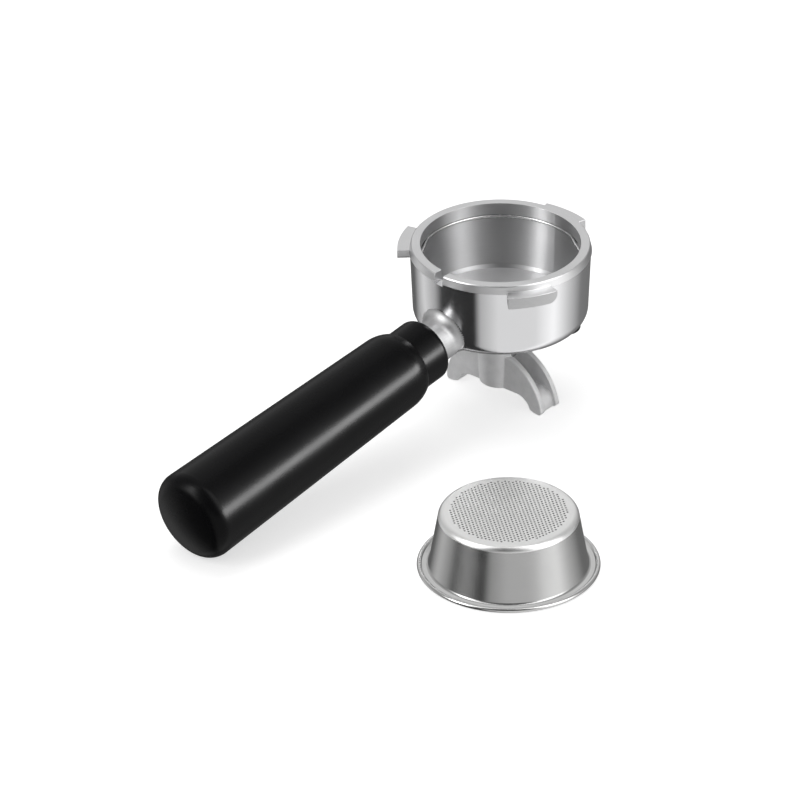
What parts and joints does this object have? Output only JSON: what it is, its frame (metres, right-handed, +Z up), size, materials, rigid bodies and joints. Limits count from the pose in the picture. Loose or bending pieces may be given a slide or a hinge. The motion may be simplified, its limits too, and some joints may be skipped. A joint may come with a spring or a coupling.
{
  "type": "espresso portafilter",
  "caption": "Espresso portafilter: a polished cup with bayonet lugs, a basket spring, a black moulded handle, a twin spout below and a loose perforated filter basket beside it.",
  "frame": {"origin": "centre of the basket bore at the top plane of the cup's rim", "axes": "+Z up along the bore axis, out of the cup's mouth; the handle leaves the cup towards -X; the spout arms point along +Y and -Y"},
  "size_m": [0.2184, 0.1654, 0.067],
  "materials": {
    "polished_cup": "mirror polished wall, satin turned rim, lugs and neck",
    "spring_wire": "bright drawn wire",
    "cast_spout": "matte blasted casting with ground edges",
    "turned_steel": "turned",
    "brass_insert": "machined",
    "black_moulding": "semi gloss moulding",
    "black_rubber": "moulded rubber",
    "basket_sheet": "bright pressed sheet"
  },
  "bodies": {
    "holder": {"cup_body": "polished_cup", "basket_spring": "spring_wire", "rest_pads": "black_rubber", "spout_nipple": "turned_steel", "spout_gasket": "black_rubber", "handle_stud": "turned_steel", "grip_insert": "brass_insert", "neck_washer": "turned_steel", "handle_grip": "black_moulding"},
    "spout": {"twin_spout": "cast_spout"},
    "basket": {"filter_basket": "basket_sheet"}
  },
  "joints": [
    {"name": "spout_turn", "type": "hinge", "parent": "holder", "child": "spout", "pos_m": [0, 0, -0.044], "axis": [0, 0, 1], "range_deg": [-90, 90]},
    {"name": "basket_lift", "type": "slide", "parent": "holder", "child": "basket", "axis": [0, 0, 1], "range_m": [0, 0.12]}
  ]
}
